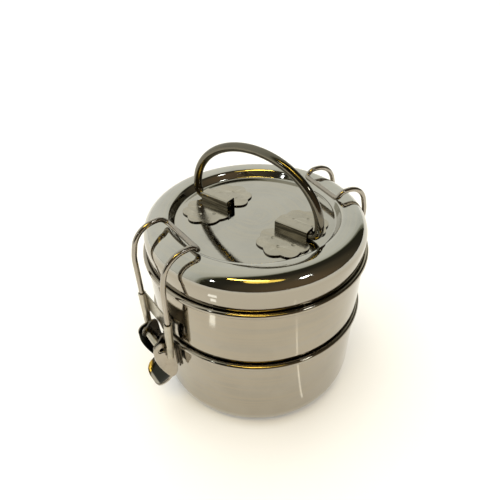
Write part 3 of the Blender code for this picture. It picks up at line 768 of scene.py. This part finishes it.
def room():
    """A soft gradient for the steel to mirror, and a pale world for the camera."""
    world = bpy.data.worlds.new("studio")
    bpy.context.scene.world = world
    world.use_nodes = True
    world.node_tree.nodes.clear()
    n = Nodes(world.node_tree)
    along = n.add("ShaderNodeVectorMath", {"operation": "DOT_PRODUCT"},
                  i0=n.add("ShaderNodeTexCoord").outputs["Generated"], i1=ROOM_HEADING.normalized())
    share = n.add("ShaderNodeMapRange", i0=along.outputs["Value"], i1=-1.0, i2=1.0)
    tones = n.add("ShaderNodeValToRGB", i0=share.outputs[0])
    ramp = tones.color_ramp
    ramp.interpolation = "EASE"
    while len(ramp.elements) < len(ROOM_TONES):
        ramp.elements.new(0.5)
    for element, (where, colour) in zip(ramp.elements, ROOM_TONES):
        element.position = where
        element.color = (*colour, 1)
    mirrored = n.add("ShaderNodeBackground", Color=tones.outputs[0])
    seen = n.add("ShaderNodeBackground", Color=(*PALE_WORLD, 1))
    pick = n.add("ShaderNodeMixShader", i0=n.add("ShaderNodeLightPath").outputs["Is Camera Ray"],
                 i1=mirrored.outputs[0], i2=seen.outputs[0])
    n.add("ShaderNodeOutputWorld", i0=pick.outputs[0])


def soft_top():
    """Wide light from above that the steel doesn't mirror."""
    data = bpy.data.lights.new("soft_top", "SUN")
    data.energy = 2.75
    data.angle = radians(80)
    data.color = (1.0, 0.995, 0.985)
    obj = bpy.data.objects.new("soft_top", data)
    bpy.context.collection.objects.link(obj)
    obj.rotation_euler = (radians(12), radians(-8), 0)
    obj.visible_glossy = False


def lamp(name, shape, where, width, height, power, colour):
    """An area light that faces the carrier and that the camera doesn't see."""
    data = bpy.data.lights.new(name, "AREA")
    data.shape = shape
    data.size, data.size_y = width, height
    data.energy = power
    data.color = colour
    obj = bpy.data.objects.new(name, data)
    bpy.context.collection.objects.link(obj)
    obj.location = where
    obj.rotation_euler = (Vector((0, 0, 0.08)) - where).to_track_quat("-Z", "Y").to_euler()
    obj.visible_camera = False
    return obj


def floor_glint(name, spot, width, length, heading, power, colour):
    """A patch of light on the floor that only shows as a reflection in the steel."""
    obj = lamp(name, "RECTANGLE", Vector((*spot, 1 * MM)), width, length, power, colour)
    obj.rotation_euler = (pi, 0, heading)
    obj.visible_diffuse = False


def studio():
    wide_floor()
    room()
    soft_top()
    for name, shape, (ahead, aside, high), *rest in LAMPS:
        lamp(name, shape, AHEAD * ahead + RIGHT * aside + UP * high, *rest)
    for glint in GLINTS:
        floor_glint(*glint)


def camera():
    data = bpy.data.cameras.new("camera")
    data.sensor_width = 36.0
    data.lens = LENS
    data.clip_start = 0.01
    obj = bpy.data.objects.new("camera", data)
    bpy.context.collection.objects.link(obj)
    axes = Matrix([[axis[i] for axis in VIEW_AXES] for i in range(3)]).to_4x4()
    obj.matrix_world = Matrix.Translation(EYE) @ axes
    bpy.context.scene.camera = obj


# ---------------------------------------------------------------- everything in place

def main():
    bpy.context.scene.view_settings.view_transform = "Standard"
    camera()
    studio()

    wall = polished_steel("bowl_steel", WALL_TONE, shine=0.05, smudge=0.06, grain="around",
                          grain_depth=0.04, wear=0.3)
    # The lid's top is painted lighter than its skirt, which goes back to the wall tone below the shoulder:
    # painted light and shade
    lid_steel = polished_steel("lid_steel", LID_TOP_LIT_TONE, shine=0.035, smudge=0.055, grain="around",
                               grain_depth=0.03, wear=0.3, lower=WALL_TONE,
                               change=(124.5 * MM, 129.5 * MM))
    for name, profile, material, body, node in (
            ("lower_bowl_shell", lower_bowl_profile(), wall, "base", "lower_bowl"),
            ("upper_bowl_shell", upper_bowl_profile(), wall, "upper_tier", "upper_bowl"),
            ("lid_shell", lid_profile(), lid_steel, "lid_group", "lid")):
        place(name, turned(name, profile), material, body, node)

    # The bail's dark tone is painted shade
    bail_steel = polished_steel("bail_steel", BAIL_SHADED_TONE, shine=0.06, smudge=0.08, grain="x",
                                grain_depth=0.03, wear=0.3, handled=0.25)
    place("bail_rod", wire("bail_rod", bail_path(), BAIL_WIRE, 40), bail_steel, "bail", "bail_handle",
          lid_frame() @ Matrix.Translation((0, 0, BAIL_Z)))
    # upright paints the channel's sides dark as shade
    bracket_steel = polished_steel("bracket_steel", PLATE_TONE, shine=0.10, smudge=0.10, grain="x",
                                   grain_depth=0.10, wear=0.5, handled=0.12, upright=CHANNEL_SIDE_SHADE)
    plate = bracket_mesh("bail_bracket_plate")
    for side, flip in (("right", False), ("left", True)):
        place("bail_bracket_plate_" + side, plate.copy(), bracket_steel, "lid_group", "bail_bracket_" + side,
              lid_frame(flip), flat_faced=True)
    bpy.data.meshes.remove(plate)

    hoop_steel = polished_steel("hoop_steel", WIRE_TONE, shine=0.10, smudge=0.10, grain="z",
                                grain_depth=0.04, wear=0.4, handled=0.15)
    link_steel = polished_steel("link_steel", PLATE_TONE, shine=0.20, smudge=0.14, grain="z",
                                grain_depth=0.10, wear=0.8, handled=0.2)
    # trough paints the lever's trough near black as shade
    lever_steel = polished_steel("lever_steel", LEVER_TONE, shine=0.14, smudge=0.14, grain="z",
                                 grain_depth=0.08, wear=0.7, handled=0.3, trough=10.15 * MM)
    # The foot's near black tone is painted shade
    foot_steel = polished_steel("bracket_foot_steel", FOOT_SHADED_TONE, shine=0.16, smudge=0.12, grain="z",
                                grain_depth=0.08, wear=0.4, handled=0.4)
    pin_steel = polished_steel("pin_steel", PLATE_TONE, shine=0.16, smudge=0.10, grain="y",
                               grain_depth=0.06, wear=0.8, handled=0.2)

    y0, y1 = ARM_Y[1] + 0.5 * MM, EAR_Y[0] - 0.4 * MM
    pin_end = EAR_Y[1] - 0.3 * MM
    pin = tube_along_y("pin_tube", *PIN_XZ, *PIN_R, -pin_end, pin_end)
    washer_a = tube_along_y("washer_a", *HINGE_XZ, *WASHER_R, y0, y1)
    washer_b = tube_along_y("washer_b", *HINGE_XZ, *WASHER_R, -y1, -y0)
    hoop = wire("hoop_wire", hoop_path(), HOOP_R)
    # CAD node, piece, mesh, material, body, leans on the right, flat faced
    pieces = (
        ("base_bracket", "bracket_foot", base_bracket_mesh("bracket_foot"), foot_steel, "base", False, True),
        ("lever_pin", "pin_tube", pin, pin_steel, "base", False, False),
        ("lever", "lever_arm", lever_mesh("lever_arm"), lever_steel, "lever_body_%s", False, True),
        ("hinge_washer_a", "washer_a", washer_a, pin_steel, "link_%s", False, False),
        ("hinge_washer_b", "washer_b", washer_b, pin_steel, "link_%s", False, False),
        ("wire_hoop", "hoop_wire", hoop, hoop_steel, "hoop_%s", True, False),
        ("link_plate", "sleeve_plate", link_plate_mesh("sleeve_plate"), link_steel, "hoop_%s", True, True),
    )
    hinge = Vector((HINGE_XZ[0], 0, HINGE_XZ[1]))
    for node, name, mesh, material, body, leans, flat_faced in pieces:
        for side, turn in (("right", RIGHT_TURN), ("left", LEFT_TURN)):
            lean = Matrix.Rotation(RIGHT_LEAN if leans and side == "right" else 0.0, 4, "Y")
            about_hinge = Matrix.Translation(hinge) @ lean @ Matrix.Translation(-hinge)
            place("%s_%s" % (name, side), mesh.copy(), material, body % side if "%" in body else body,
                  "%s_%s" % (node, side), Matrix.Rotation(turn, 4, "Z") @ about_hinge, flat_faced=flat_faced)
        bpy.data.meshes.remove(mesh)


main()
